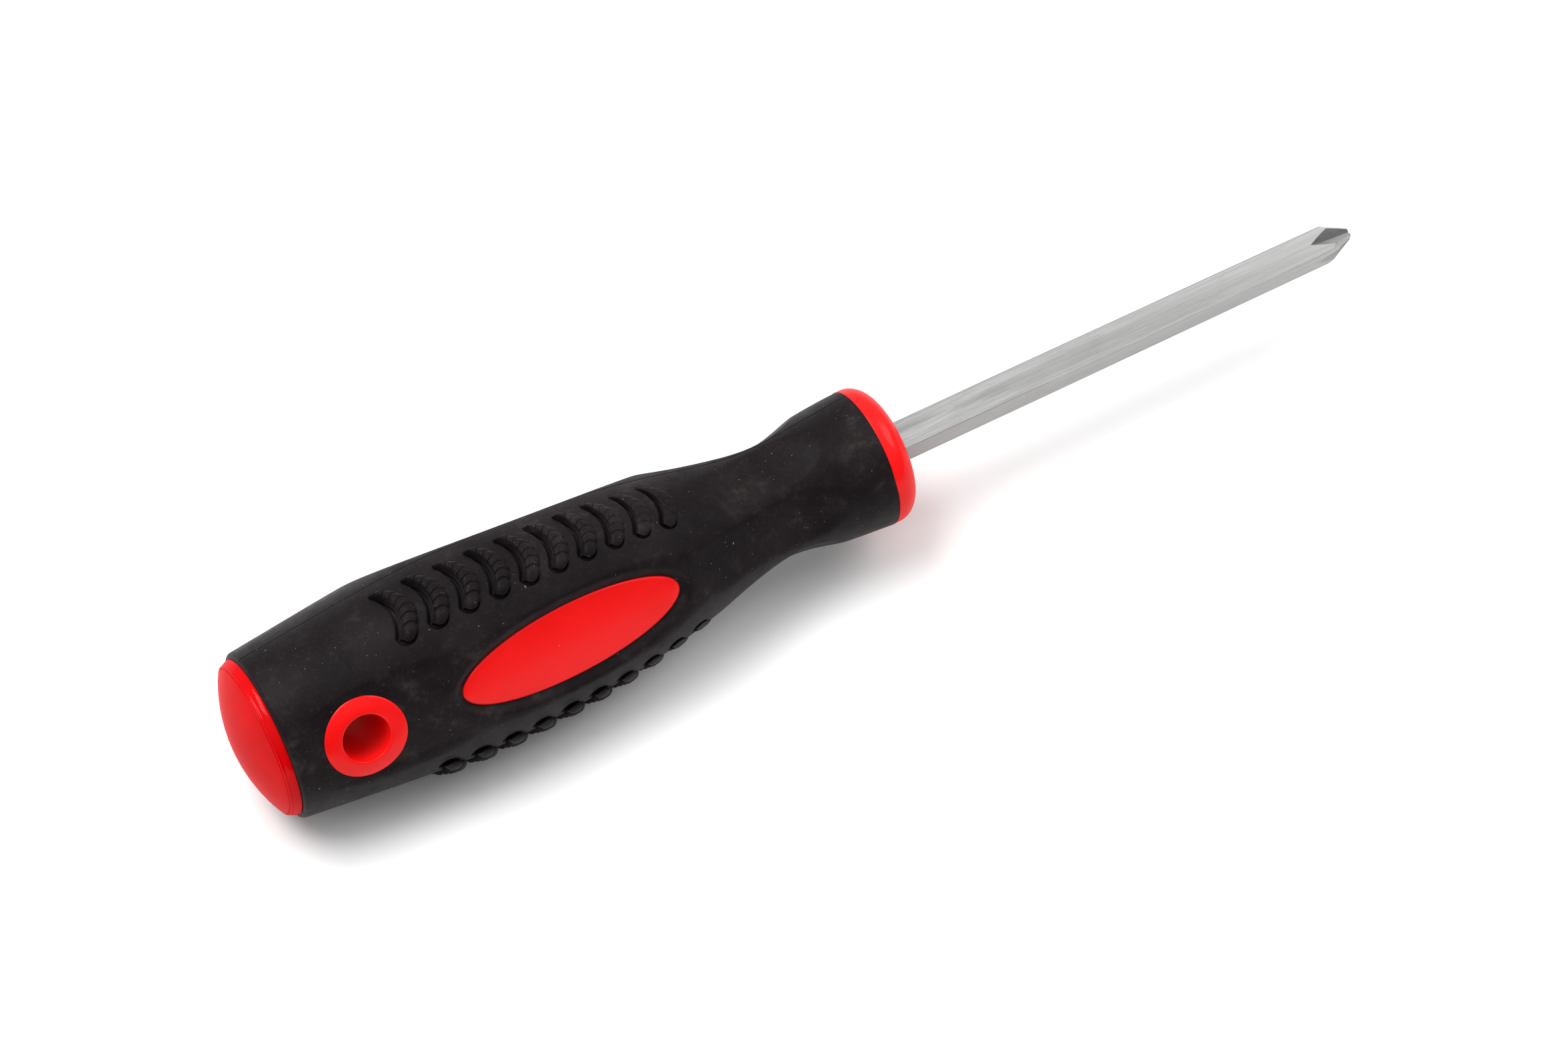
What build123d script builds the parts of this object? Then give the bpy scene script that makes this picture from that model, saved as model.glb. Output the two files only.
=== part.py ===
from build123d import *
import os
from math import cos, pi, radians, sin, tan

# A screwdriver with a square, cross-point blade and a cushioned handle of three lobes.
#
# Frame: the origin is where the hanging hole crosses the tool's axis. +X runs along that axis towards
# the tip. The tool lies on two of its lobes with +Z up, so the flat between them faces straight down.
# Everything is drawn with the badge facing -Y, and the finished pieces are then turned by LIE_ANGLE.
#
# Stations are distances along the axis in millimetres, on a scale that puts the hanging hole at
# HOLE_STATION. Heights are distances from the axis.

# ---- driving dimensions, in millimetres and degrees ----
LIE_ANGLE = -30.0                # turns the badge from -Y up to 30 degrees above the horizontal

GRIP_END = 125.8                 # front face of the rubber
COLLAR_END = 132.0               # front of the hard collar
BLADE_EXPOSED = 102.2            # collar front to the tip
HOLE_STATION = 14.6              # the hanging hole

REAR_FACE = 0.5                  # rear face of the rubber and the core, where the cap sits
REAR_EDGE = 0.9                  # rounding of the rubber's rear edge
GRIP_OUTLINE = [                 # station, radius: the lobes, the waist and the front flare
    (REAR_FACE + REAR_EDGE, 16.45), (17.8, 18.2), (37.0, 19.65), (56.0, 19.05), (74.6, 17.3),
    (86.8, 14.85), (97.0, 12.6), (105.0, 11.85), (115.0, 12.65), (GRIP_END, 13.6),
]
CORE_OUTLINE = [                 # station, radius: the hard core inside the rubber
    (REAR_FACE, 13.4), (37.0, 14.6), (56.0, 14.3), (74.6, 12.8), (86.8, 10.9),
    (97.0, 9.3), (105.0, 8.7), (115.0, 9.1), (GRIP_END, 9.6),
]

FACET_ARC = [(30.0, 18.75), (55.0, 16.75), (84.0, 15.0)]      # floor of the flats between the lobes
FRONT_LAND_ARC = [(-2.0, 16.9), (10.5, 16.1), (35.0, 18.93)]  # eased surface round the hole, front
BACK_LAND_ARC = [(4.0, 17.2), (13.0, 16.3), (30.0, 19.5)]     # the same, back
LOBE_SCOOP_FLOOR = [             # station, height: finger scoops of the waist, in line with the lobes
    (84.0, 16.2), (90.0, 14.05), (97.1, 12.0), (105.3, 10.75), (112.0, 11.6), (118.0, 13.7),
]
FLAT_SCOOP_FLOOR = [             # the scoops that run on from the flats begin further back
    (80.0, 16.0), (86.8, 13.9), (92.0, 12.65), (98.0, 11.45), (105.3, 10.6), (112.0, 11.5), (118.0, 13.6),
]
LOBES = 3

BADGE_STATION = 56.6             # centre of the elliptical badge
BADGE_LENGTH = 45.8
BADGE_WIDTH = 14.4
BADGE_BELOW_FACET = 0.5          # badge face below the flat that it lies in
POCKET_MARGIN = 1.8              # rubber floor showing all round the badge
POCKET_DEPTH = 1.1               # that floor, below the flat

RIBS_PER_ROW = 10
RIB_FIRST = 26.1                 # station of the first rib's tail
RIB_PITCH = 6.45
RIB_PITCH_LOSS = 0.11            # each pitch is this much shorter than the one behind it
RIB_SHRINK = 0.016               # each rib is this share smaller than the first
RIB_HEIGHT = 1.4                 # above the lobe, for the tallest ribs
RIB_FADE_START = 58.0            # the ribs grow lower in front of this station
RIB_FADE_END = 85.0
RIB_FADE_SHARE = 0.75            # share of the height lost by the end
RIB_ROOT = 1.2                   # depth that a rib reaches into the grip
MOAT_DEPTH = 0.9                 # groove round each rib
RIB_CURVE = [                    # outline: tail, bulge, front, end, rear and hollow of the crescent
    (0.0, 6.35), (5.75, 0.3), (3.6, -5.2), (2.0, -6.0), (0.75, -4.8), (2.75, 0.6),
]
MOAT_CURVE = [                   # the same for the groove
    (-0.5, 6.9), (6.0, 0.3), (3.9, -5.5), (1.9, -6.7), (-0.2, -5.1), (1.5, 0.5),
]
ROW_FLOOR = 10.0                 # height at which the crescents' blanks start
ROW_DEPTH = 15.0
ROW_ANGLE = 60.0                 # the rows lie this far round from the badge

HOLE_RADIUS = 4.6
LINER_RADIUS = 6.2
FLANGE_RADIUS = 7.9
FLANGE_EDGE = 15.9               # height of the flange's outer edge
FLANGE_CREST = 16.75             # height of the flange beside the hole
FLANGE_UNDERSIDE = 14.9
HOLE_EDGE = 0.25                 # rounding into the hole

COLLAR_RADIUS = 13.6
COLLAR_ROUND_LENGTH = 4.2        # rounded front edge: along the axis, and towards it
COLLAR_ROUND_DEPTH = 5.0
COLLAR_CROWN = 0.8               # bulge of the front face
NOSE_LENGTH = 3.5                # core nose inside the collar

CAP_RIM_RADIUS = 15.45
CREASE_STATION = -1.5            # rear end of the conical band between the rubber and the dome
CREASE_RADIUS = 14.6
CREASE_STEP = 0.2
DOME_HEIGHT = 3.6
SPIGOT_RADIUS = 10.5
SPIGOT_LENGTH = 5.0
SOCKET_SPARE = 0.3

BAR_SIDE = 6.0                   # square bar: the assumed size that every other one follows
BAR_CORNER = 0.2
BAR_TIP_SIDE = 5.75              # the bar is drawn in slightly towards the tip
BAR_TAPER_LENGTH = 70.0
BAR_TURN = 50.0                  # a flat of the bar faces this far round from the badge
TANG_LENGTH = 78.0               # bar inside the handle
TANG_WING_SPAN = 11.0
TANG_WING_THICKNESS = 2.4
TANG_WING_LENGTH = 12.0
TANG_WING_INSET = 4.0

TIP_END_RADIUS = 1.145           # nominal blunt end of a size 2 cross point
TIP_HALF_ANGLE = 26.5            # nominal too
FLUTE_ROOT = 0.58                # flute floor from the axis, at the blunt end
FLUTE_SLOPE = 6.0                # how that floor rises at the blunt end
FLUTE_WHEEL = 33.6               # radius of the cutter that forms it
FLUTE_OPENING = 102.0
FLUTE_REACH = 6.0                # height of the cutter's V

QUARTER_CURVE = 0.5523           # handle length that makes a cubic curve a quarter of an ellipse
OUTSIDE = 40.0                   # beyond every surface of the tool


def at(station):
    """The X coordinate of a station."""
    return station - HOLE_STATION


def outline_points(outline):
    """Points of a turned outline."""
    return [(at(station), radius) for station, radius in outline]


def rib_height(station):
    """How far the ribs stand above the lobe, falling towards the waist."""
    share = (station - RIB_FADE_START) / (RIB_FADE_END - RIB_FADE_START)
    share = min(max(share, 0.0), 1.0)
    return RIB_HEIGHT * (1.0 - RIB_FADE_SHARE * share)


def turned(face):
    """Solid of revolution about the tool's axis."""
    return revolve(face, Axis.X)


def closed_face(*edges):
    """Face inside a closed chain of edges."""
    return make_face(Wire(edges))


def lobed_barrel():
    """The grip's round blank: spline outline, rounded rear edge, flat ends."""
    points = outline_points(GRIP_OUTLINE)
    rear = at(REAR_FACE)
    front = at(GRIP_END)
    rear_radius = GRIP_OUTLINE[0][1] - REAR_EDGE
    bisector = REAR_EDGE * cos(pi / 4)
    rear_arc_start = (rear, rear_radius)
    rear_arc_middle = (rear + REAR_EDGE - bisector, rear_radius + bisector)
    return turned(closed_face(
        Line((rear, 0.0), rear_arc_start),
        ThreePointArc(rear_arc_start, rear_arc_middle, points[0]),
        Spline(*points),
        Line(points[-1], (front, 0.0)),
        Line((front, 0.0), (rear, 0.0)),
    ))


def barrel_shell(depth):
    """Ring of space that follows the grip's outline, from a depth below it up to the ribs' tops."""
    low = [(at(station), radius - depth) for station, radius in GRIP_OUTLINE]
    high = [(at(station), radius + rib_height(station)) for station, radius in GRIP_OUTLINE]
    return turned(closed_face(
        Spline(*high),
        Line(high[-1], low[-1]),
        Spline(*low),
        Line(low[0], high[0]),
    ))


def core_blank():
    """The hard core's outside, with its nose."""
    points = outline_points(CORE_OUTLINE)
    nose_end = at(GRIP_END + NOSE_LENGTH)
    nose_radius = points[-1][1]
    return turned(closed_face(
        Line((points[0][0], 0.0), points[0]),
        Spline(*points),
        Line(points[-1], (nose_end, nose_radius)),
        Line((nose_end, nose_radius), (nose_end, 0.0)),
        Line((nose_end, 0.0), (points[0][0], 0.0)),
    ))


def face_cutter(floor):
    """Everything on the badge side above a floor line, which is an edge in the XY plane."""
    start = floor @ 0
    end = floor @ 1
    face = closed_face(
        floor,
        Line(end, (end.X, -OUTSIDE)),
        Line((end.X, -OUTSIDE), (start.X, -OUTSIDE)),
        Line((start.X, -OUTSIDE), start),
    )
    return extrude(face, OUTSIDE, both=True)


def floor_points(heights, drop):
    """Points of a floor line on the badge side, lowered by drop."""
    return [(at(station), drop - height) for station, height in heights]


def facet_cutter(drop):
    return face_cutter(ThreePointArc(*floor_points(FACET_ARC, drop)))


def ellipse_prism(margin, low, high):
    """Elliptical prism over the badge, between two heights above the axis."""
    ellipse = Ellipse(BADGE_LENGTH / 2 + margin, BADGE_WIDTH / 2 + margin)
    sketch = Plane.XZ.offset(low) * Pos(at(BADGE_STATION), 0) * ellipse
    return extrude(sketch, high - low)


def turn(shape, angle):
    """Turn a shape round the axis, from the badge towards the upper lobe."""
    return Rot(X=-angle) * shape


def crescent(curve, place, size):
    """Crescent outline on the badge side, from its six points."""
    tail, bulge, front, end, rear, hollow = [(place + size * x, size * y) for x, y in curve]
    return closed_face(
        ThreePointArc(tail, bulge, front),
        ThreePointArc(front, end, rear),
        ThreePointArc(rear, hollow, tail),
    )


def row_of(curve, envelope):
    """One row of crescents standing on the badge side, cut to the envelope."""
    row = []
    for index in range(RIBS_PER_ROW):
        station = RIB_FIRST + index * RIB_PITCH - index * (index - 1) / 2 * RIB_PITCH_LOSS
        face = crescent(curve, at(station), 1.0 - index * RIB_SHRINK)
        blank = extrude(Plane.XZ.offset(ROW_FLOOR) * face, ROW_DEPTH)
        row.append(envelope & blank)
    return row


def three_rows(row):
    """The row on each lobe. The two rows beside the badge mirror each other."""
    upper = [turn(piece, ROW_ANGLE) for piece in row]
    lower = [mirror(piece, Plane.XY) for piece in upper]
    back = [turn(piece, 180.0) for piece in row]
    return upper + lower + back


def hole_cylinder(radius, low, high):
    """Cylinder on the hanging hole's axis, between two heights on the badge side."""
    return extrude(Plane.XZ.offset(low) * Circle(radius), high - low)


def eyelet_blank():
    """Room that the eyelet takes in the core and the rubber."""
    liner = hole_cylinder(LINER_RADIUS, -OUTSIDE, OUTSIDE)
    front = hole_cylinder(FLANGE_RADIUS, FLANGE_UNDERSIDE, OUTSIDE)
    back = hole_cylinder(FLANGE_RADIUS, -OUTSIDE, -FLANGE_UNDERSIDE)
    return liner + front + back


def make_eyelet():
    """Hard liner of the hanging hole, with a crowned flange at each end."""
    crest = FLANGE_CREST
    inner = HOLE_RADIUS
    rounding = HOLE_EDGE
    bisector = rounding * cos(pi / 4)
    edge = (inner + rounding, crest)
    wall = (inner, crest - rounding)
    half = closed_face(
        Line((inner, 0.0), wall),
        ThreePointArc(wall, (inner + rounding - bisector, crest - rounding + bisector), edge),
        Line(edge, (FLANGE_RADIUS, FLANGE_EDGE)),
        Line((FLANGE_RADIUS, FLANGE_EDGE), (FLANGE_RADIUS, FLANGE_UNDERSIDE)),
        Line((FLANGE_RADIUS, FLANGE_UNDERSIDE), (LINER_RADIUS, FLANGE_UNDERSIDE)),
        Line((LINER_RADIUS, FLANGE_UNDERSIDE), (LINER_RADIUS, 0.0)),
        Line((LINER_RADIUS, 0.0), (inner, 0.0)),
    )
    upper = revolve(half, Axis.Y)
    return upper + mirror(upper, Plane.XZ)


def make_badge(core):
    """Hard elliptical badge, standing on the core and set below the flat."""
    blank = ellipse_prism(0.0, 0.0, OUTSIDE / 2)
    return blank - facet_cutter(BADGE_BELOW_FACET) - core


def make_grip(core):
    """Soft grip: barrel with flats, scoops, a badge pocket and three rows of ribs."""
    grip = lobed_barrel()
    for lobe in range(LOBES):
        grip -= turn(facet_cutter(0.0), lobe * 360.0 / LOBES)
    grip -= face_cutter(ThreePointArc(*floor_points(FRONT_LAND_ARC, 0.0)))
    grip -= turn(face_cutter(ThreePointArc(*floor_points(BACK_LAND_ARC, 0.0))), 180.0)
    flat_scoop = face_cutter(Spline(*floor_points(FLAT_SCOOP_FLOOR, 0.0)))
    lobe_scoop = face_cutter(Spline(*floor_points(LOBE_SCOOP_FLOOR, 0.0)))
    for lobe in range(LOBES):
        grip -= turn(flat_scoop, lobe * 360.0 / LOBES)
        grip -= turn(lobe_scoop, (lobe + 0.5) * 360.0 / LOBES)
    for moat in three_rows(row_of(MOAT_CURVE, barrel_shell(MOAT_DEPTH))):
        grip -= moat
    for rib in three_rows(row_of(RIB_CURVE, barrel_shell(RIB_ROOT))):
        grip += rib
    grip -= ellipse_prism(POCKET_MARGIN, 0.0, OUTSIDE / 2) & facet_cutter(POCKET_DEPTH)
    grip -= ellipse_prism(0.0, 0.0, OUTSIDE / 2)
    return grip - core - eyelet_blank()


def make_core(core, blade):
    """Hard core, moulded round the tang, with a socket for the cap at the rear."""
    socket = extrude(Plane.YZ.offset(at(REAR_FACE)) * Circle(SPIGOT_RADIUS), SPIGOT_LENGTH + SOCKET_SPARE)
    return core - socket - eyelet_blank() - blade


def make_collar(core, blade):
    """Hard front collar: a band with a rounded edge and a crowned front, closed round the bar."""
    rear = at(GRIP_END)
    front = at(COLLAR_END)
    edge = front - COLLAR_CROWN
    band_end = edge - COLLAR_ROUND_LENGTH
    shoulder = COLLAR_RADIUS - COLLAR_ROUND_DEPTH
    half_shoulder = (front - COLLAR_CROWN / 4, shoulder / 2)
    rounding = Bezier(
        (band_end, COLLAR_RADIUS),
        (band_end + QUARTER_CURVE * COLLAR_ROUND_LENGTH, COLLAR_RADIUS),
        (edge, shoulder + QUARTER_CURVE * COLLAR_ROUND_DEPTH),
        (edge, shoulder),
    )
    blank = turned(closed_face(
        Line((rear, 0.0), (rear, COLLAR_RADIUS)),
        Line((rear, COLLAR_RADIUS), (band_end, COLLAR_RADIUS)),
        rounding,
        ThreePointArc((edge, shoulder), half_shoulder, (front, 0.0)),
        Line((front, 0.0), (rear, 0.0)),
    ))
    return blank - core - blade


def make_cap():
    """Glossy end cap: conical rim, crease, low dome, and a spigot pressed into the core."""
    rear = at(REAR_FACE)
    crease = at(CREASE_STATION)
    dome_rim = (crease - CREASE_STEP, CREASE_RADIUS - CREASE_STEP)
    dome_top = (dome_rim[0] - DOME_HEIGHT, 0.0)
    sphere = (dome_rim[1] ** 2 + DOME_HEIGHT ** 2) / (2 * DOME_HEIGHT)
    half_radius = dome_rim[1] / 2
    dome_middle = (dome_top[0] + sphere - (sphere ** 2 - half_radius ** 2) ** 0.5, half_radius)
    spigot_end = rear + SPIGOT_LENGTH
    return turned(closed_face(
        ThreePointArc(dome_top, dome_middle, dome_rim),
        Line(dome_rim, (crease, CREASE_RADIUS - CREASE_STEP)),
        Line((crease, CREASE_RADIUS - CREASE_STEP), (crease, CREASE_RADIUS)),
        Line((crease, CREASE_RADIUS), (rear, CAP_RIM_RADIUS)),
        Line((rear, CAP_RIM_RADIUS), (rear, SPIGOT_RADIUS)),
        Line((rear, SPIGOT_RADIUS), (spigot_end, SPIGOT_RADIUS)),
        Line((spigot_end, SPIGOT_RADIUS), (spigot_end, 0.0)),
        Line((spigot_end, 0.0), dome_top),
    ))


def bar_section(station, side):
    plane = Plane.YZ.offset(at(station))
    return plane * RectangleRounded(side, side, BAR_CORNER)


def flute_cutter(tip):
    """One flute of the cross point: a wheel with a V rim, which rises away from the tip."""
    slope = radians(FLUTE_SLOPE)
    root = Vector(tip, -FLUTE_ROOT, 0.0)
    outward = Vector(sin(slope), -cos(slope), 0.0)
    centre = root + outward * FLUTE_WHEEL
    section = Plane(origin=root, x_dir=(0, 0, 1), z_dir=(cos(slope), sin(slope), 0))
    half_width = FLUTE_REACH * tan(radians(FLUTE_OPENING / 2))
    triangle = section * make_face(Polyline(
        (0.0, 0.0),
        (half_width, FLUTE_REACH),
        (-half_width, FLUTE_REACH),
        close=True,
    ))
    return revolve(triangle, Axis((centre.X, centre.Y, centre.Z), (0, 0, 1)))


def make_blade():
    """Square bar with a cross point, and a tang with pressed wings inside the handle."""
    tip = COLLAR_END + BLADE_EXPOSED
    taper_start = tip - BAR_TAPER_LENGTH
    tang_end = COLLAR_END - TANG_LENGTH
    bar = extrude(bar_section(tang_end, BAR_SIDE), taper_start - tang_end)
    bar += loft([bar_section(taper_start, BAR_SIDE), bar_section(tip, BAR_TIP_SIDE)])
    bar = Rot(X=45.0) * bar
    cone_length = (BAR_SIDE - TIP_END_RADIUS) / tan(radians(TIP_HALF_ANGLE))
    cone = turned(closed_face(
        Line((at(tang_end), 0.0), (at(tang_end), BAR_SIDE)),
        Line((at(tang_end), BAR_SIDE), (at(tip) - cone_length, BAR_SIDE)),
        Line((at(tip) - cone_length, BAR_SIDE), (at(tip), TIP_END_RADIUS)),
        Line((at(tip), TIP_END_RADIUS), (at(tip), 0.0)),
        Line((at(tip), 0.0), (at(tang_end), 0.0)),
    ))
    bar &= cone
    for quarter in range(4):
        bar -= turn(flute_cutter(at(tip)), 45.0 + 90.0 * quarter)
    wing_centre = at(tang_end + TANG_WING_INSET + TANG_WING_LENGTH / 2)
    bar += Pos(wing_centre, 0, 0) * Box(TANG_WING_LENGTH, TANG_WING_SPAN, TANG_WING_THICKNESS)
    return turn(bar, BAR_TURN - 45.0)


def save(name, shape):
    """Lay the piece down as the tool lies and write it."""
    solid = Rot(X=LIE_ANGLE) * shape
    export_step(solid, f"parts/{name}.step")


def main():
    os.makedirs("parts", exist_ok=True)
    core = core_blank()
    blade = make_blade()
    save("blade", blade)
    save("handle_core", make_core(core, blade))
    save("front_collar", make_collar(core, blade))
    save("badge", make_badge(core))
    save("hanging_eyelet", make_eyelet())
    save("end_cap", make_cap())
    save("grip", make_grip(core))


main()
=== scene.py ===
import math

import bpy
import numpy as np
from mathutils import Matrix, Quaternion, Vector


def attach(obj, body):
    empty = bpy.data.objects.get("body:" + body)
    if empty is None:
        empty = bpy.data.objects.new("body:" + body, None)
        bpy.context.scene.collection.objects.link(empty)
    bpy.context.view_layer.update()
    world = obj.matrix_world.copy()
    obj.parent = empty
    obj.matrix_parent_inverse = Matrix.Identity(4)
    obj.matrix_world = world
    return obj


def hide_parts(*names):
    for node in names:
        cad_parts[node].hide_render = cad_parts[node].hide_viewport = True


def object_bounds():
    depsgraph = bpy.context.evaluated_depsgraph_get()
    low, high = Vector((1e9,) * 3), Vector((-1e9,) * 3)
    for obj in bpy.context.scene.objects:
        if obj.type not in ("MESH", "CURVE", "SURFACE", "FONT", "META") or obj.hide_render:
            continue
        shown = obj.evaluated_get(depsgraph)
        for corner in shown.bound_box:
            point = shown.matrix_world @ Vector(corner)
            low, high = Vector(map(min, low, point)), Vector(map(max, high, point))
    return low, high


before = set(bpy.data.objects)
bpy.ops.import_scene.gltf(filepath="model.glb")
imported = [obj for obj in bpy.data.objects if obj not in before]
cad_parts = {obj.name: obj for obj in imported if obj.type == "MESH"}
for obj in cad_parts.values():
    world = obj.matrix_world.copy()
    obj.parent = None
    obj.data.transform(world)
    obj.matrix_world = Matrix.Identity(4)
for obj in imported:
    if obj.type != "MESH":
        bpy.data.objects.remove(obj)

cad_low, cad_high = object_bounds()

# The tool is drawn in millimetres with its badge facing -Y and its axis along X, and is then laid
# down on two lobes by LIE_ANGLE. Stations run along the axis, with the hanging hole at HOLE_STATION.
# Heights are distances from the axis. Section angles run round it, from the badge to the upper lobe.

MM = 0.001
LIE_ANGLE = math.radians(-30.0)
HOLE_STATION = 14.6

GRIP_END = 125.8
REAR_FACE = 0.5
REAR_EDGE = 0.9
GRIP_OUTLINE = [
    (REAR_FACE + REAR_EDGE, 16.45), (17.8, 18.2), (37.0, 19.65), (56.0, 19.05), (74.6, 17.3),
    (86.8, 14.85), (97.0, 12.6), (105.0, 11.85), (115.0, 12.65), (GRIP_END, 13.6),
]
CORE_OUTLINE = [
    (REAR_FACE, 13.4), (37.0, 14.6), (56.0, 14.3), (74.6, 12.8), (86.8, 10.9),
    (97.0, 9.3), (105.0, 8.7), (115.0, 9.1), (GRIP_END, 9.6),
]
FACET_ARC = [(30.0, 18.75), (55.0, 16.75), (84.0, 15.0)]
FRONT_LAND_ARC = [(-2.0, 16.9), (10.5, 16.1), (35.0, 18.93)]
BACK_LAND_ARC = [(4.0, 17.2), (13.0, 16.3), (30.0, 19.5)]
LOBE_SCOOP_FLOOR = [
    (84.0, 16.2), (90.0, 14.05), (97.1, 12.0), (105.3, 10.75), (112.0, 11.6), (118.0, 13.7),
]
FLAT_SCOOP_FLOOR = [
    (80.0, 16.0), (86.8, 13.9), (92.0, 12.65), (98.0, 11.45), (105.3, 10.6), (112.0, 11.5), (118.0, 13.6),
]
LAND_CROWN = 44.0                      # radius of the land's crown across the tool
NO_FLOOR = 40.0                        # a height that lowers nothing
SIDE_REACH = 55.0                      # a floor lowers the grip no further round than this, in degrees
SEAM_ANGLES = (90.0, 270.0)            # the mould's parting line
SEAM_DEPTH = 0.10

BADGE_STATION = 56.6
BADGE_HALF_LENGTH = 22.9
BADGE_HALF_WIDTH = 7.2
BADGE_BELOW_FACET = 0.5
POCKET_MARGIN = 1.8
POCKET_DEPTH = 1.1

RIBS_PER_ROW = 10
RIB_FIRST = 26.1
RIB_PITCH = 6.45
RIB_PITCH_LOSS = 0.11
RIB_SHRINK = 0.016
RIB_HEIGHT = 1.36
RIB_FADE = (58.0, 85.0, 0.75)          # the ribs lose this share of their height between two stations
MOAT_DEPTH = 1.35
PLATES_PER_RIB = 8

LINER_RADIUS = 6.2
HOLE_RADIUS = 4.6
FLANGE_RADIUS = 7.9
FLANGE_CREST = 16.72
FLANGE_UNDERSIDE = 14.9

COLLAR_END = 132.0
COLLAR_RADIUS = 13.55
COLLAR_CROWN = 0.8
COLLAR_ROUND_LENGTH = 4.2
COLLAR_ROUND_DEPTH = 5.0


# ---------------------------------------------------------------- numbers

def natural_spline(points):
    """Smooth curve through a few points, as a function of the first coordinate."""
    x = np.array([p[0] for p in points], float)
    y = np.array([p[1] for p in points], float)
    n = len(x)
    step = np.diff(x)
    matrix = np.eye(n)
    right = np.zeros(n)
    for i in range(1, n - 1):
        matrix[i, i - 1:i + 2] = step[i - 1], 2 * (step[i - 1] + step[i]), step[i]
        right[i] = 6 * ((y[i + 1] - y[i]) / step[i] - (y[i] - y[i - 1]) / step[i - 1])
    bend = np.linalg.solve(matrix, right)

    def value(at):
        at = np.asarray(at, float)
        k = np.clip(np.searchsorted(x, at) - 1, 0, n - 2)
        a = (x[k + 1] - at) / step[k]
        b = (at - x[k]) / step[k]
        curve = ((a ** 3 - a) * bend[k] + (b ** 3 - b) * bend[k + 1]) * step[k] ** 2 / 6
        return a * y[k] + b * y[k + 1] + curve

    return value


def circle_through(a, b, c):
    """Centre and radius of the circle through three points."""
    a, b, c = (np.array(p, float) for p in (a, b, c))
    matrix = 2 * np.array([b - a, c - a])
    right = np.array([b @ b - a @ a, c @ c - a @ a])
    centre = np.linalg.solve(matrix, right)
    return centre, float(np.linalg.norm(a - centre))


def hollow_arc(points):
    """Height of a hollow arc through three points, as a function of the station."""
    centre, radius = circle_through(*points)

    def value(at):
        reach = np.minimum(np.abs(np.asarray(at, float) - centre[0]), 0.98 * radius)
        return centre[1] - np.sqrt(radius ** 2 - reach ** 2)

    return value


def soft_min(a, b, width):
    """The smaller of two values, eased where they cross."""
    near = np.maximum(width - np.abs(a - b), 0.0) / width
    return np.minimum(a, b) - near ** 2 * width / 4


def smooth_step(low, high, value):
    share = np.clip((value - low) / (high - low), 0.0, 1.0)
    return share * share * (3 - 2 * share)


barrel_radius = natural_spline(GRIP_OUTLINE)
core_radius = natural_spline(CORE_OUTLINE)
facet_height = hollow_arc(FACET_ARC)
front_land = hollow_arc(FRONT_LAND_ARC)
back_land = hollow_arc(BACK_LAND_ARC)
lobe_scoop = natural_spline(LOBE_SCOOP_FLOOR)
flat_scoop = natural_spline(FLAT_SCOOP_FLOOR)


# ---------------------------------------------------------------- meshes

def lay_down(points):
    """Turn drawn points, in millimetres, to where they lie in the frame, in metres."""
    points = np.asarray(points, float)
    c, s = math.cos(LIE_ANGLE), math.sin(LIE_ANGLE)
    out = np.empty_like(points)
    out[:, 0] = points[:, 0] - HOLE_STATION
    out[:, 1] = points[:, 1] * c - points[:, 2] * s
    out[:, 2] = points[:, 1] * s + points[:, 2] * c
    return out * MM


def new_piece(name, points, quads):
    """Mesh object from drawn points and an array of quads."""
    quads = np.asarray(quads, np.int32)
    mesh = bpy.data.meshes.new(name)
    mesh.vertices.add(len(points))
    mesh.vertices.foreach_set("co", lay_down(points).astype(np.float32).ravel())
    mesh.loops.add(quads.size)
    mesh.loops.foreach_set("vertex_index", quads.ravel())
    mesh.polygons.add(len(quads))
    mesh.polygons.foreach_set("loop_start", np.arange(0, quads.size, 4, dtype=np.int32))
    mesh.polygons.foreach_set("use_smooth", np.full(len(quads), True))
    mesh.update(calc_edges=True)
    mesh.validate()
    piece = bpy.data.objects.new(name, mesh)
    bpy.context.scene.collection.objects.link(piece)
    return piece


def grid_quads(rows, columns, wrap_rows=False, wrap_columns=False):
    """Quads of a grid of points, row by row."""
    i = np.arange(rows if wrap_rows else rows - 1)
    j = np.arange(columns if wrap_columns else columns - 1)
    i, j = np.meshgrid(i, j, indexing="ij")
    ni, nj = (i + 1) % rows, (j + 1) % columns
    quads = np.stack([i * columns + j, ni * columns + j, ni * columns + nj, i * columns + nj], axis=-1)
    return quads.reshape(-1, 4)


def round_the_axis(stations, radii, angles):
    """Points at stations, radii and section angles, all the same shape."""
    return np.stack([stations, -radii * np.cos(angles), radii * np.sin(angles)], axis=-1).reshape(-1, 3)


def turned_piece(name, profile, steps=256):
    """Closed solid of revolution about the tool's axis, from a closed (station, radius) profile."""
    profile = np.array(profile, float)
    angles = np.linspace(0, 2 * math.pi, steps, endpoint=False)
    stations = np.repeat(profile[:, :1], steps, axis=1)
    radii = np.repeat(profile[:, 1:], steps, axis=1)
    turns = np.repeat(angles[None, :], len(profile), axis=0)
    points = round_the_axis(stations, radii, turns)
    return new_piece(name, points, grid_quads(len(profile), steps, wrap_rows=True, wrap_columns=True))


def arc(centre, radius, start, end, count):
    """Points of an arc, with angles in degrees."""
    angles = np.radians(np.linspace(start, end, count))
    return [(centre[0] + radius * math.cos(a), centre[1] + radius * math.sin(a)) for a in angles]


# ---------------------------------------------------------------- ribs

def rib_places():
    """Station and size of each rib in a row."""
    for index in range(RIBS_PER_ROW):
        loss = index * (index - 1) / 2 * RIB_PITCH_LOSS
        yield RIB_FIRST + index * RIB_PITCH - loss, 1.0 - index * RIB_SHRINK


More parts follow.
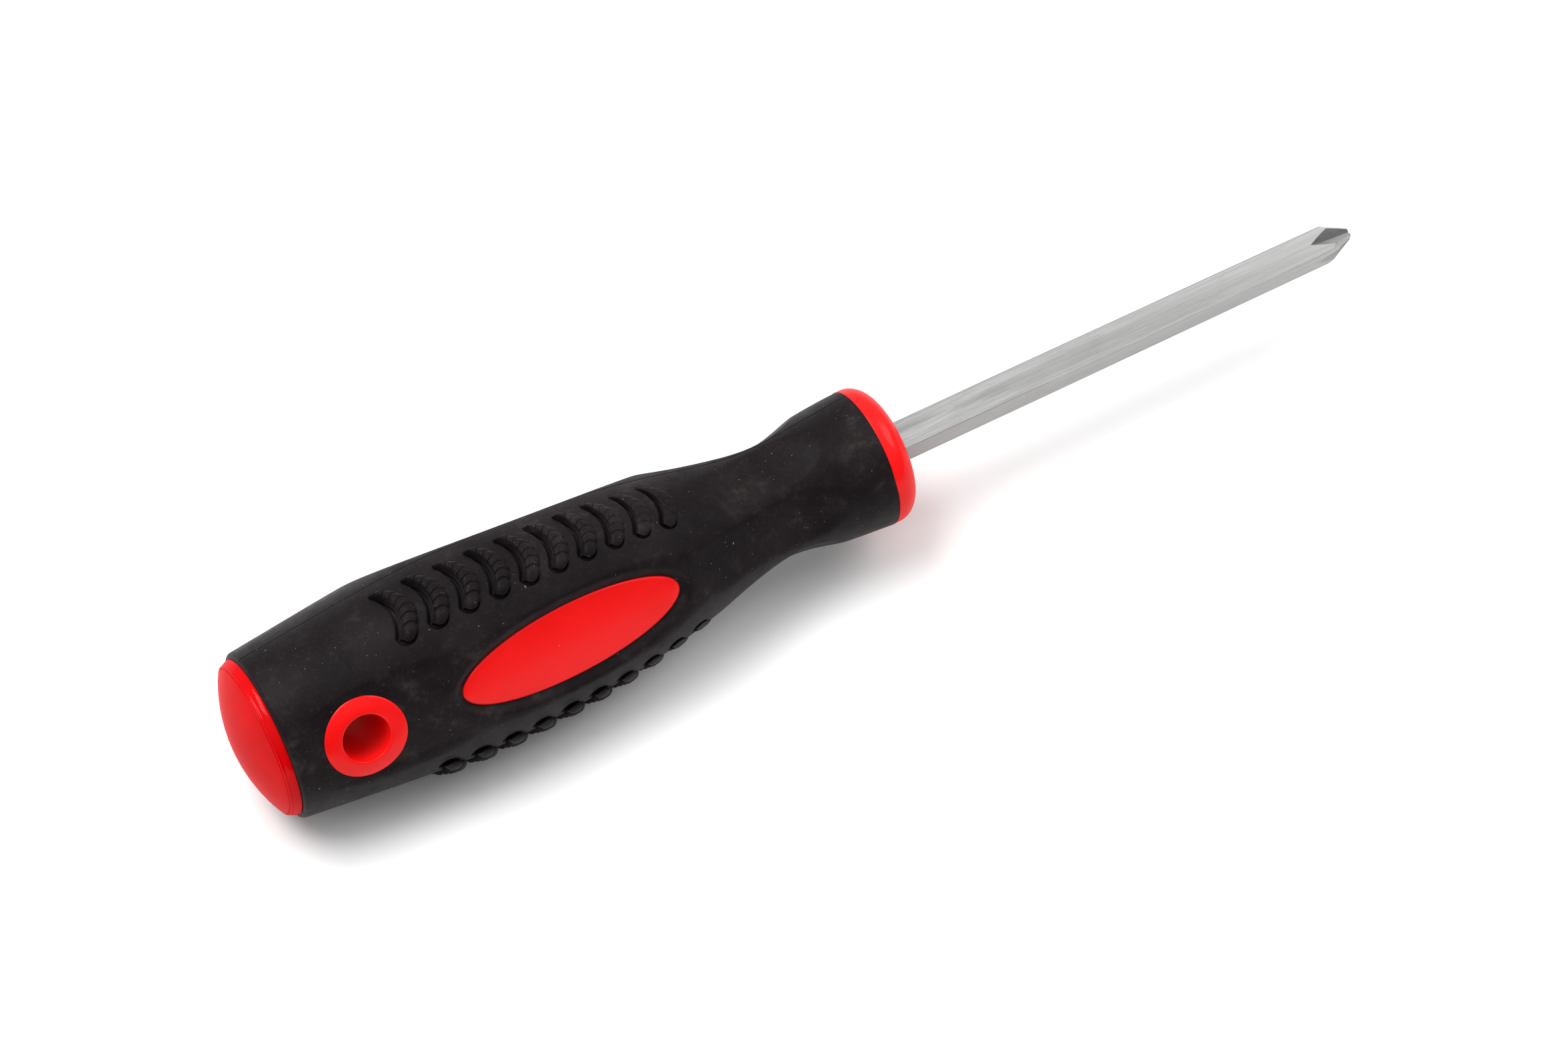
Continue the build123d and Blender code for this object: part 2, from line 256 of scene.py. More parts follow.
ROWS = [(60.0, 1.0), (-60.0, -1.0), (180.0, 1.0)]   # section angle, and which way the tails point

TAIL, BULGE, FRONT, REAR, HOLLOW = (-0.1, 6.45), (5.75, 0.4), (3.55, -4.9), (0.95, -4.6), (2.75, 0.7)
MOAT_OUTER = circle_through((-0.4, 6.9), (5.95, 0.3), (3.9, -5.6))
MOAT_INNER = circle_through((-0.35, 6.7), (1.65, 0.55), (-0.3, -5.0))
MOAT_END = (2.15, -4.4, 1.95)


def moat_depth(stations, angles, radii):
    """How far the moats round the ribs lower the barrel."""
    depth = np.zeros_like(stations)
    for centre, way in ROWS:
        turn = (np.degrees(angles) - centre + 180) % 360 - 180
        beside = np.abs(turn) < 28
        across = way * radii * np.sin(np.radians(turn))
        for place, size in rib_places():
            near = beside & (np.abs(stations - place - 2.5) < 8)
            x = (stations[near] - place) / size
            w = across[near] / size
            outer = np.hypot(x - MOAT_OUTER[0][0], w - MOAT_OUTER[0][1]) - MOAT_OUTER[1]
            inner = MOAT_INNER[1] - np.hypot(x - MOAT_INNER[0][0], w - MOAT_INNER[0][1])
            end = np.hypot(x - MOAT_END[0], np.minimum(w - MOAT_END[1], 0.0)) - MOAT_END[2]
            edge = np.maximum(np.maximum(outer, inner), end)
            cut = MOAT_DEPTH * smooth_step(0.16, -0.40, edge)
            depth[near] = np.maximum(depth[near], cut)
    return depth


def arc_between(a, b, c, shares):
    """Points at shares of the way from a to c along the arc through b."""
    centre, radius = circle_through(a, b, c)
    start, middle, end = (math.atan2(p[1] - centre[1], p[0] - centre[0]) for p in (a, b, c))
    middle = start + (middle - start + math.pi) % (2 * math.pi) - math.pi
    end = middle + (end - middle + math.pi) % (2 * math.pi) - math.pi
    angles = start + (end - start) * shares
    return np.stack([centre[0] + radius * np.cos(angles), centre[1] + radius * np.sin(angles)], axis=-1)


def rib_block(place, size, centre, way):
    """One rib: overlapping plates along a crescent. Returns its points and quads."""
    shares, phases, plates = [], [], []
    edges = np.array([0.012, 0.13, 0.25, 0.37, 0.49, 0.61, 0.73, 0.85, 1.0])
    for plate in range(PLATES_PER_RIB):
        for phase in (0.02, 0.05, 0.14, 0.3, 0.5, 0.7, 0.86, 0.95, 1.0):
            shares.append(edges[plate] + (edges[plate + 1] - edges[plate]) * phase)
            phases.append(phase)
            plates.append(plate)
    shares, phases, plates = np.array(shares), np.array(phases), np.array(plates)
    rows = len(shares)
    open_up = smooth_step(0.0, 0.15, shares) * smooth_step(1.0, 0.85, shares)

    across = np.array([0.0, 0.0, 0.02, 0.07, 0.16, 0.28, 0.42, 0.56, 0.7, 0.82, 0.91, 0.97, 1.0, 1.0])
    columns = len(across)
    rise = np.array([-1.5, 0.1, 0.52, 0.76, 0.92, 0.99, 1.0, 0.98, 0.9, 0.76, 0.58, 0.38, 0.12, -1.5])

    step_up = 0.12 + 0.20 * phases                               # each plate rises towards the fat end
    lip = np.where(phases > 0.9, -0.10, 0.0) + np.where(phases < 0.1, -0.16, 0.0)
    fade = smooth_step(-0.02, 0.22, shares) * np.sqrt(1.0 - 0.9 * smooth_step(0.86, 1.0, shares) ** 2)
    scallop = 1.0 + 0.11 * np.sin(np.pi * np.clip(phases, 0.02, 1.0)) ** 0.6 * smooth_step(0.0, 0.2, shares)
    end_bulge = smooth_step(0.80, 1.0, shares)

    points = np.zeros((rows, columns, 3))
    for j in range(columns):
        v = across[j]
        bowed = shares + open_up * (0.045 * v ** 3 - 0.04 * math.sin(math.pi * v))
        inner = arc_between(TAIL, HOLLOW, REAR, bowed)
        outer = arc_between(TAIL, BULGE, FRONT, bowed)
        reach = v * scallop if v > 0.5 else np.full(rows, v)
        spot = inner + (outer - inner) * reach[:, None]
        spot[:, 1] -= end_bulge * 1.2 * math.sqrt(1 - (2 * v - 1) ** 2)
        height = rise[j]
        station = place + size * spot[:, 0]
        if height > 0:
            tall = RIB_HEIGHT * (1.0 - RIB_FADE[2] * smooth_step(RIB_FADE[0], RIB_FADE[1], station))
            top = np.minimum(tall * (0.78 * height + (step_up + lip) * height) * (0.25 + 0.75 * fade), tall)
        else:
            top = np.full(rows, -MOAT_DEPTH - 0.15)
        base = barrel_radius(station)
        turn = way * np.arcsin(np.clip(size * spot[:, 1] / base, -1, 1)) + math.radians(centre)
        points[:, j] = round_the_axis(station, base + top, turn)
    flat = points.reshape(-1, 3)
    quads = grid_quads(rows, columns)
    first = np.arange(columns)
    last = first + (rows - 1) * columns
    sides = np.arange(rows) * columns
    far_sides = sides + columns - 1
    underside = np.stack([sides[:-1], far_sides[:-1], far_sides[1:], sides[1:]], axis=-1)
    ends = []
    for rim, flip in ((first, False), (last, True)):
        for k in range(columns // 2 - 1):
            quad = [rim[k], rim[k + 1], rim[columns - 2 - k], rim[columns - 1 - k]]
            ends.append(quad[::-1] if flip else quad)
    quads = np.concatenate([quads, underside, np.array(ends)])
    if way < 0:
        quads = quads[:, ::-1]
    return flat, quads


def make_ribs():
    """The three rows of crescent ribs."""
    pieces = []
    for name, (centre, way) in zip(("ribs_upper", "ribs_lower", "ribs_back"), ROWS):
        points, quads, count = [], [], 0
        for place, size in rib_places():
            block, faces = rib_block(place, size, centre, way)
            points.append(block)
            quads.append(faces + count)
            count += len(block)
        piece = new_piece(name, np.concatenate(points), np.concatenate(quads))
        pieces.append(piece)
    return pieces


# ---------------------------------------------------------------- grip

def grip_radius(stations, angles):
    """Outer radius of the soft grip."""
    start = REAR_FACE + REAR_EDGE
    back = np.clip(start - stations, 0.0, REAR_EDGE)
    rounded = GRIP_OUTLINE[0][1] - REAR_EDGE + np.sqrt(REAR_EDGE ** 2 - back ** 2)
    barrel = np.where(stations < start, rounded, barrel_radius(np.maximum(stations, start)))
    radius = barrel.copy()

    def lower_to(height, centre, width, crown=0.0):
        turn = (angles - math.radians(centre) + math.pi) % (2 * math.pi) - math.pi
        seen = np.abs(turn) < math.radians(SIDE_REACH)
        turn = np.where(seen, turn, 0.0)
        lateral = np.minimum(height * np.abs(np.tan(turn)), FLANGE_RADIUS)
        floor = (height - crown * lateral ** 2) / np.cos(turn)
        return np.where(seen, soft_min(radius, floor, width), radius)

    for centre in (0.0, 120.0, 240.0):
        radius = lower_to(facet_height(stations), centre, 0.5)
    in_land = stations < 36
    for land, centre in ((front_land, 0.0), (back_land, 180.0)):
        height = np.where(in_land, land(stations), NO_FLOOR)
        radius = lower_to(height, centre, 0.6, crown=0.5 / LAND_CROWN)
    scoops = (
        (LOBE_SCOOP_FLOOR, lobe_scoop, 60.0),
        (FLAT_SCOOP_FLOOR, flat_scoop, 0.0),
    )
    for outline, floor, first in scoops:
        low, high = outline[0][0], outline[-1][0]
        inside = (stations > low) & (stations < high)
        height = np.where(inside, floor(np.clip(stations, low, high)), NO_FLOOR)
        for third in range(3):
            radius = lower_to(height, first + third * 120.0, 0.28)

    facet = facet_height(stations)
    front = np.abs((angles + math.pi) % (2 * math.pi) - math.pi) < math.radians(45)
    turn = np.where(front, angles, 0.0)
    pocket_length = BADGE_HALF_LENGTH + POCKET_MARGIN
    pocket_width = BADGE_HALF_WIDTH + POCKET_MARGIN
    along = (stations - BADGE_STATION) / pocket_length
    side = facet * np.tan(turn) / pocket_width
    reach = np.hypot(along, side) + 1e-9
    slope = np.hypot(along / pocket_length, side / pocket_width) / reach
    edge = (reach - 1) / (slope + 1e-9)
    floor = (facet - POCKET_DEPTH) / np.cos(turn)
    pocket = smooth_step(0.4, -1.5, edge) * front
    radius = radius + (np.minimum(floor, radius) - radius) * pocket

    depth = moat_depth(stations, angles, barrel)
    radius = np.minimum(radius, barrel - depth)

    for seam in SEAM_ANGLES:
        turn = (angles - math.radians(seam) + math.pi) % (2 * math.pi) - math.pi
        radius = radius - SEAM_DEPTH * np.exp(-(turn * barrel / SEAM_DEPTH) ** 2)
    return radius


def grip_grid():
    """Stations and section angles of the grip's mesh: finer on the ribs and at the mould seams."""
    coarse = 1.0
    start = REAR_FACE + REAR_EDGE
    stations = [np.linspace(REAR_FACE, start, 8, endpoint=False)]
    for low, high, step in ((start, 23.0, 0.4), (23.0, 89.0, 0.17), (89.0, GRIP_END, 0.35)):
        stations.append(np.arange(low, high, step * coarse))
    stations.append([GRIP_END])
    around = []
    turn = 0.0
    while turn < 360.0:
        around.append(math.radians(turn))
        to_row = min(abs((turn - centre + 180) % 360 - 180) for centre, _ in ROWS)
        to_badge = abs((turn + 180) % 360 - 180)
        turn += coarse * (0.45 if to_row < 24 or to_badge < 32 else 0.9)
    around = np.array(around)
    seams = [math.radians(seam) + offset / 16.0
             for seam in (90.0, 270.0) for offset in (-0.22, -0.12, -0.05, 0.0, 0.05, 0.12, 0.22)]
    around = around[[min(abs(a - s) for s in seams) > 0.004 for a in around]]
    return np.concatenate(stations), np.sort(np.concatenate([around, seams]))


def make_grip():
    """Soft grip as one closed skin: outside, both end faces and the bore round the core."""
    stations, angles = grip_grid()
    grid_x, grid_a = np.meshgrid(stations, angles, indexing="ij")
    outer = round_the_axis(grid_x, grip_radius(grid_x, grid_a), grid_a)
    bore_x = np.linspace(GRIP_END, REAR_FACE, 40)
    inner_x, inner_a = np.meshgrid(bore_x, angles, indexing="ij")
    inner = round_the_axis(inner_x, core_radius(inner_x), inner_a)
    rows = len(stations) + len(bore_x)
    points = np.concatenate([outer, inner])
    quads = grid_quads(rows, len(angles), wrap_rows=True, wrap_columns=True)
    return new_piece("grip_skin", points, quads)


def eyelet_cutter():
    """Room for the eyelet: liner and both flanges, as one closed turned block about the hole."""
    far = 24.0
    wide = FLANGE_RADIUS + 0.02
    half = [(0.0, far), (wide, far), (wide, FLANGE_UNDERSIDE), (LINER_RADIUS, FLANGE_UNDERSIDE)]
    profile = half + [(r, -h) for r, h in reversed(half)]
    return about_the_hole("eyelet_cutter", profile, 160)


def about_the_hole(name, profile, steps):
    """Solid of revolution about the hanging hole, from a (radius, height) profile that ends on its axis."""
    profile = np.array([(max(r, 1e-4), h) for r, h in profile])
    angles = np.linspace(0, 2 * math.pi, steps, endpoint=False)
    radius, turn = np.meshgrid(profile[:, 0], angles, indexing="ij")
    height = np.repeat(profile[:, 1:], steps, axis=1)
    points = np.stack([HOLE_STATION + radius * np.cos(turn), -height, radius * np.sin(turn)], axis=-1)
    quads = grid_quads(len(profile), steps, wrap_rows=True, wrap_columns=True)
    return new_piece(name, points.reshape(-1, 3), quads)


def cut(piece, cutter):
    """Boolean difference, applied."""
    modifier = piece.modifiers.new("cut", "BOOLEAN")
    modifier.operation = "DIFFERENCE"
    modifier.solver = "MANIFOLD"
    modifier.object = cutter
    evaluated = piece.evaluated_get(bpy.context.evaluated_depsgraph_get())
    mesh = bpy.data.meshes.new_from_object(evaluated)
    piece.modifiers.clear()
    piece.data = mesh
    mesh.set_sharp_from_angle(angle=math.radians(65))
    bpy.data.objects.remove(cutter)


# ---------------------------------------------------------------- hard plastic pieces

def make_eyelet():
    """Liner of the hanging hole, with a flange at each end that follows the grip."""
    steps = 192
    rise = [
        (4.60, 0.55), (4.62, 0.75), (4.68, 0.9), (4.78, 0.98), (4.95, 1.0), (5.4, 0.96), (6.0, 0.85),
        (6.6, 0.70), (7.1, 0.52), (7.5, 0.35), (7.72, 0.2), (7.85, 0.04), (7.9, -0.2), (7.9, -0.8),
    ]
    angles = np.linspace(0, 2 * math.pi, steps, endpoint=False)
    rings = []

    def ring(radius, height):
        station = HOLE_STATION + radius * np.cos(angles)
        rings.append(np.stack([station, -height, radius * np.sin(angles)], axis=-1))

    for land, side in ((front_land, 1), (back_land, -1)):
        block = []
        for radius, share in rise:
            station = HOLE_STATION + radius * np.cos(angles)
            lateral = radius * np.sin(angles)
            ground = land(station) - lateral ** 2 / (2 * LAND_CROWN)
            lift = (FLANGE_CREST - land(HOLE_STATION)) * share
            lean = smooth_step(HOLE_RADIUS, FLANGE_RADIUS, radius)
            level = land(HOLE_STATION) * (1 - lean) + ground * lean
            block.append((radius, side * (level + lift)))
        block.append((FLANGE_RADIUS, np.full(steps, side * FLANGE_UNDERSIDE)))
        block.append((LINER_RADIUS, np.full(steps, side * FLANGE_UNDERSIDE)))
        for radius, height in (block if side > 0 else block[::-1]):
            ring(radius, height)
    for height in np.linspace(-15.5, 15.5, 12):
        ring(HOLE_RADIUS, np.full(steps, height))
    points = np.concatenate(rings)
    quads = grid_quads(len(rings), steps, wrap_rows=True, wrap_columns=True)
    return new_piece("eyelet", points, quads)


def make_badge():
    """Elliptical badge: gently crowned face, rounded edge, straight side down into its pocket."""
    steps = 240
    shares = np.concatenate([np.linspace(0.02, 0.9, 24), [0.94, 0.965, 0.982, 0.993, 1.0, 1.0]])
    angles = np.linspace(0, 2 * math.pi, steps, endpoint=False)
    rings = []
    edge = 0.42
    for index, share in enumerate(shares):
        inset = (1 - share) * BADGE_HALF_WIDTH
        drop = edge - math.sqrt(max(edge ** 2 - max(edge - inset, 0.0) ** 2, 0.0))
        x = BADGE_STATION + BADGE_HALF_LENGTH * share * np.cos(angles)
        z = BADGE_HALF_WIDTH * share * np.sin(angles)
        height = facet_height(x) - BADGE_BELOW_FACET - z ** 2 / 150.0 - drop
        if index == len(shares) - 1:
            height = facet_height(x) - 2.2
        rings.append(np.stack([x, -height, z], axis=-1))
    flat = rings[-1].copy()
    for share in (0.5, 0.02):
        shrunk = flat.copy()
        shrunk[:, 0] = BADGE_STATION + (flat[:, 0] - BADGE_STATION) * share
        shrunk[:, 2] = flat[:, 2] * share
        rings.append(shrunk)
    points = np.concatenate(rings)
    count = len(rings)
    quads = grid_quads(count, steps, wrap_columns=True)
    caps = []
    for ring, flip in ((0, False), (count - 1, True)):
        start = ring * steps
        for k in range(steps // 2 - 1):
            quad = [start + k, start + k + 1, start + steps - 2 - k, start + steps - 1 - k]
            caps.append(quad[::-1] if flip else quad)
    return new_piece("badge_plate", points, np.concatenate([quads, np.array(caps)]))


def make_collar():
    """Front collar: narrow band, long rounded shoulder and a crowned front round the bar."""
    rear = GRIP_END + 0.02
    edge = COLLAR_END - COLLAR_CROWN
    shoulder = COLLAR_RADIUS - COLLAR_ROUND_DEPTH
    band_end = edge - COLLAR_ROUND_LENGTH
    profile = [(GRIP_END + 3.6, 3.2), (GRIP_END + 3.6, 9.7), (rear, 9.7), (rear, COLLAR_RADIUS - 0.12)]
    profile += arc((rear + 0.12, COLLAR_RADIUS - 0.12), 0.12, 180, 90, 4)[1:]
    profile += [
        (band_end + COLLAR_ROUND_LENGTH * math.sin(a), shoulder + COLLAR_ROUND_DEPTH * math.cos(a))
        for a in np.linspace(0.0, math.pi / 2, 30)
    ]
    profile += [
        (COLLAR_END - COLLAR_CROWN * (r / shoulder) ** 2, r)
        for r in np.linspace(shoulder, 3.5, 12)[1:]
    ]
    profile += [(COLLAR_END - 0.3, 3.2)]
    return turned_piece("collar_ring", profile)


def make_cap():
    """End cap: conical rim, crease and low dome."""
    crease = -1.5
    dome_rim = (crease - 0.2, 14.35)
    dome_height = 3.6
    sphere = (dome_rim[1] ** 2 + dome_height ** 2) / (2 * dome_height)
    opening = math.degrees(math.asin(dome_rim[1] / sphere))
    edge = REAR_FACE - 0.02
    profile = [(edge, 11.0), (edge, 15.24)]
    profile += arc((edge - 0.18, 15.24), 0.18, 0, 80, 5)[1:]
    profile += [(edge - 0.7, 15.30), (edge - 1.3, 15.03)]
    profile += arc((crease + 0.32, 14.50), 0.34, 70, 175, 8)
    profile += [(crease - 0.03, 14.32)]
    profile += arc((crease - 0.02, 14.12), 0.22, 75, 150, 5)
    middle = (dome_rim[0] - dome_height + sphere, 0.0)
    profile += arc(middle, sphere, 180 - opening + 1.2, 180 - 0.15, 40)
    profile += [(-0.6, 0.08)]
    # The profile was drawn from the rim to the axis. Reversed, its faces point outwards.
    return turned_piece("cap_dome", profile[::-1])


# ---------------------------------------------------------------- materials

class Nodes:
    """Small helper for building a material's node tree."""

    def __init__(self, name):
        self.material = bpy.data.materials.new(name)
        self.material.use_nodes = True
        self.tree = self.material.node_tree
        self.tree.nodes.clear()
        self.shader = self.add("ShaderNodeBsdfPrincipled")
        output = self.add("ShaderNodeOutputMaterial")
        self.link(self.shader.outputs["BSDF"], output.inputs["Surface"])
        self.place = self.add("ShaderNodeTexCoord").outputs["Object"]

    def add(self, kind, **settings):
        node = self.tree.nodes.new(kind)
        for key, value in settings.items():
            setattr(node, key, value)
        return node

    def link(self, start, end):
        self.tree.links.new(start, end)

    def feed(self, value, socket):
        if isinstance(value, (int, float, tuple, list)):
            socket.default_value = value
        else:
            self.link(value, socket)

    def stretched(self, scale, turn=0.0):
        node = self.add("ShaderNodeMapping")
        self.link(self.place, node.inputs["Vector"])
        node.inputs["Scale"].default_value = scale
        node.inputs["Rotation"].default_value = (turn, 0.0, 0.0)
        return node.outputs["Vector"]

    def noise(self, scale, detail=2.0, roughness=0.5, vector=None):
        node = self.add("ShaderNodeTexNoise")
        self.link(vector or self.place, node.inputs["Vector"])
        node.inputs["Scale"].default_value = scale
        node.inputs["Detail"].default_value = detail
        node.inputs["Roughness"].default_value = roughness
        return node.outputs["Fac"]

    def cells(self, scale, vector=None):
        node = self.add("ShaderNodeTexVoronoi", feature="F1")
        self.link(vector or self.place, node.inputs["Vector"])
        node.inputs["Scale"].default_value = scale
        return node

    def math(self, kind, a, b=0.0, c=0.0):
        node = self.add("ShaderNodeMath", operation=kind)
        for value, socket in zip((a, b, c), node.inputs):
            self.feed(value, socket)
        return node.outputs["Value"]

    def span(self, value, low, high, out_low=0.0, out_high=1.0):
        node = self.add("ShaderNodeMapRange", interpolation_type="SMOOTHSTEP")
        self.feed(value, node.inputs["Value"])
        limits = {"From Min": low, "From Max": high, "To Min": out_low, "To Max": out_high}
        for key, number in limits.items():
            node.inputs[key].default_value = number
        return node.outputs["Result"]

    def mix(self, share, a, b):
        node = self.add("ShaderNodeMix", data_type="RGBA", blend_type="MIX")
        self.feed(share, node.inputs["Factor"])
        for value, name in ((a, "A"), (b, "B")):
            for socket in [s for s in node.inputs if s.name == name and s.type == "RGBA"]:
                self.feed(value, socket)
        return [s for s in node.outputs if s.type == "RGBA"][0]

    def bump(self, height, distance, strength=1.0, normal=None):
        node = self.add("ShaderNodeBump")
        node.inputs["Strength"].default_value = strength
        node.inputs["Distance"].default_value = distance
        self.link(height, node.inputs["Height"])
        if normal is not None:
            self.link(normal, node.inputs["Normal"])
        return node.outputs["Normal"]

    def seam(self, width):
        """1 on the mould's parting plane, which holds the tool's axis, and 0 beside it."""
        split = self.add("ShaderNodeSeparateXYZ")
        self.link(self.place, split.inputs["Vector"])
        across = self.math("ADD", self.math("MULTIPLY", split.outputs["Y"], -math.cos(LIE_ANGLE)),
                           self.math("MULTIPLY", split.outputs["Z"], -math.sin(LIE_ANGLE)))
        return self.span(self.math("ABSOLUTE", across), width, width * 0.4)


DUST_SIZES = (                         # cell scale, speck size, and two noise levels that keep it rare
    (260.0, 0.04, 0.55, 0.57),
    (520.0, 0.06, 0.54, 0.57),
    (1000.0, 0.085, 0.54, 0.58),
)


def rubber(name):
    """Matt charcoal soft plastic: fine grain, faint smudges, specks of dust, and painted shade along the
    mould seam's groove.
    """
    n = Nodes(name)
    smudge = n.noise(75.0, 5.0, 0.65)
    blotch = n.noise(320.0, 4.0, 0.7)
    mottle = n.noise(1500.0, 3.0, 0.6)
    grain = n.noise(5200.0, 2.0, 0.6)
    base = n.mix(n.span(smudge, 0.35, 0.68), (0.0045, 0.0026, 0.0032, 1), (0.0100, 0.0064, 0.0070, 1))
    haze = n.math("MULTIPLY", n.span(smudge, 0.40, 0.75), n.span(blotch, 0.46, 0.70))
    base = n.mix(n.math("MULTIPLY", haze, 0.7), base, (0.044, 0.037, 0.037, 1))
    base = n.mix(n.math("MULTIPLY", n.span(mottle, 0.55, 0.8), 0.5), base, (0.026, 0.021, 0.021, 1))
    dirt = 0.0
    for scale, reach, low, high in DUST_SIZES:
        dust = n.cells(scale)
        speck = n.span(dust.outputs["Distance"], reach, reach * 0.5)
        rare = n.span(n.noise(scale * 0.7, 1.0, 0.5, dust.outputs["Position"]), low, high)
        dirt = n.math("MAXIMUM", dirt, n.math("MULTIPLY", speck, rare))
    fibre_space = n.stretched((1.0, 0.35, 0.6), 0.7)
    fibre = n.span(n.cells(300.0, vector=fibre_space).outputs["Distance"], 0.055, 0.02)
    fibre = n.math("MULTIPLY", fibre, n.span(n.noise(120.0, 1.0), 0.55, 0.62))
    dirt = n.math("MAXIMUM", dirt, fibre)
    base = n.mix(n.math("MULTIPLY", dirt, 0.6), base, (0.30, 0.28, 0.27, 1))
    # Painted shade: the mould seam's groove is painted near black along the parting plane.
    base = n.mix(n.math("MULTIPLY", n.seam(0.00016), 0.7), base, (0.003, 0.003, 0.003, 1))
    n.link(base, n.shader.inputs["Base Color"])
    n.link(n.span(blotch, 0.3, 0.8, 0.48, 0.68), n.shader.inputs["Roughness"])
    rough = n.bump(grain, 0.00003, 0.6)
    rough = n.bump(mottle, 0.00008, 0.5, rough)
    n.link(rough, n.shader.inputs["Normal"])
    n.shader.inputs["Specular IOR Level"].default_value = 0.09
    n.shader.inputs["Sheen Weight"].default_value = 0.03
    n.shader.inputs["Sheen Roughness"].default_value = 0.45
    n.shader.inputs["Sheen Tint"].default_value = (0.95, 0.93, 0.93, 1)
    return n.material


def red_plastic(name, light, deep, coat, coat_roughness):
    """Saturated red moulding: faint flow mottling, light scuffs and dust."""
    n = Nodes(name)
    flow = n.noise(60.0, 3.0, 0.55, n.stretched((0.5, 1.0, 1.0)))
    base = n.mix(n.span(flow, 0.3, 0.7), deep, light)
    dust = n.span(n.cells(380.0).outputs["Distance"], 0.07, 0.03)
    rare = n.span(n.noise(190.0, 1.0), 0.60, 0.66)
    base = n.mix(n.math("MULTIPLY", n.math("MULTIPLY", dust, rare), 0.5), base, (0.75, 0.45, 0.42, 1))
    n.link(base, n.shader.inputs["Base Color"])
    scuff = n.noise(900.0, 2.0, 0.6, n.stretched((0.25, 1.0, 1.0), 0.4))
    n.link(n.span(scuff, 0.35, 0.75, 0.45, 0.60), n.shader.inputs["Roughness"])
    n.link(n.bump(n.noise(2600.0, 2.0, 0.5), 0.00001, 0.35), n.shader.inputs["Normal"])
    n.shader.inputs["Specular IOR Level"].default_value = 0.0
    n.shader.inputs["Coat Weight"].default_value = coat
    n.shader.inputs["Coat Roughness"].default_value = coat_roughness
    n.shader.inputs["Subsurface Weight"].default_value = 0.06
    n.shader.inputs["Subsurface Radius"].default_value = (0.0012, 0.0003, 0.0002)
    return n.material


def nickel(name):
    """Satin nickel plate over a drawn bar: fine lines along it, faint scratches and stains."""
    n = Nodes(name)
    lines = n.noise(1.0, 4.0, 0.65, n.stretched((45.0, 2600.0, 2600.0)))
    fine = n.noise(1.0, 3.0, 0.7, n.stretched((160.0, 9000.0, 9000.0)))
    stain = n.noise(140.0, 4.0, 0.6)
    base = n.mix(n.span(lines, 0.3, 0.7), (0.31, 0.31, 0.307, 1), (0.38, 0.38, 0.377, 1))
    base = n.mix(n.math("MULTIPLY", n.span(stain, 0.55, 0.75), 0.25), base, (0.27, 0.266, 0.256, 1))
    n.link(base, n.shader.inputs["Base Color"])
    n.shader.inputs["Metallic"].default_value = 1.0
    n.link(n.span(fine, 0.3, 0.75, 0.27, 0.43), n.shader.inputs["Roughness"])
    n.shader.inputs["Anisotropic"].default_value = 0.35
    bump = n.bump(lines, 0.00002, 0.35)
    n.link(n.bump(fine, 0.00001, 0.3, bump), n.shader.inputs["Normal"])
    return n.material


# ---------------------------------------------------------------- stage

def area_light(name, place, target, size, power):
    data = bpy.data.lights.new(name, "AREA")
    data.shape = "RECTANGLE"
    data.size, data.size_y = size
    data.energy = power
    light = bpy.data.objects.new(name, data)
    light.location = place
    light.rotation_mode = "QUATERNION"
    light.rotation_quaternion = (Vector(target) - Vector(place)).to_track_quat("-Z", "Y")
    bpy.context.scene.collection.objects.link(light)


def make_floor():
    """Plain pale floor, a little uneven in tone."""
    half = 3.0
    level = cad_low.z
    mesh = bpy.data.meshes.new("floor")
    corners = [(-half, -half, level), (half, -half, level), (half, half, level), (-half, half, level)]
    mesh.from_pydata(corners, [], [(0, 1, 2, 3)])
    floor = bpy.data.objects.new("floor", mesh)
    bpy.context.scene.collection.objects.link(floor)
    n = Nodes("floor_paint")
    tone = n.mix(n.noise(6.0, 2.0), (0.86, 0.86, 0.86, 1), (0.90, 0.90, 0.90, 1))
    n.link(tone, n.shader.inputs["Base Color"])
    n.shader.inputs["Roughness"].default_value = 0.9
    n.shader.inputs["Specular IOR Level"].default_value = 0.1
    mesh.materials.append(n.material)


CAMERA_TARGET = Vector((0.0918, -0.0039, -0.0024))
CAMERA_DISTANCE = 0.9587
CAMERA_AZIMUTH = math.radians(29.75)
CAMERA_ELEVATION = math.radians(55.31)
CAMERA_ROLL = math.radians(0.18)
CAMERA_LENS = 117.9
SENSOR_WIDTH = 36.0


def make_camera():
    """Long lens from above the handle's end."""
    data = bpy.data.cameras.new("camera")
    data.lens = CAMERA_LENS
    data.sensor_width = SENSOR_WIDTH
    data.clip_start, data.clip_end = 0.05, 20.0
    camera = bpy.data.objects.new("camera", data)
    flat = math.cos(CAMERA_ELEVATION)
    back = Vector((
        -flat * math.sin(CAMERA_AZIMUTH),
        -flat * math.cos(CAMERA_AZIMUTH),
        math.sin(CAMERA_ELEVATION),
    ))
    camera.location = CAMERA_TARGET + back * CAMERA_DISTANCE
    camera.rotation_mode = "QUATERNION"
    roll = Quaternion(back, CAMERA_ROLL)
    camera.rotation_quaternion = roll @ (-back).to_track_quat("-Z", "Y")
    bpy.context.scene.collection.objects.link(camera)
    bpy.context.scene.camera = camera


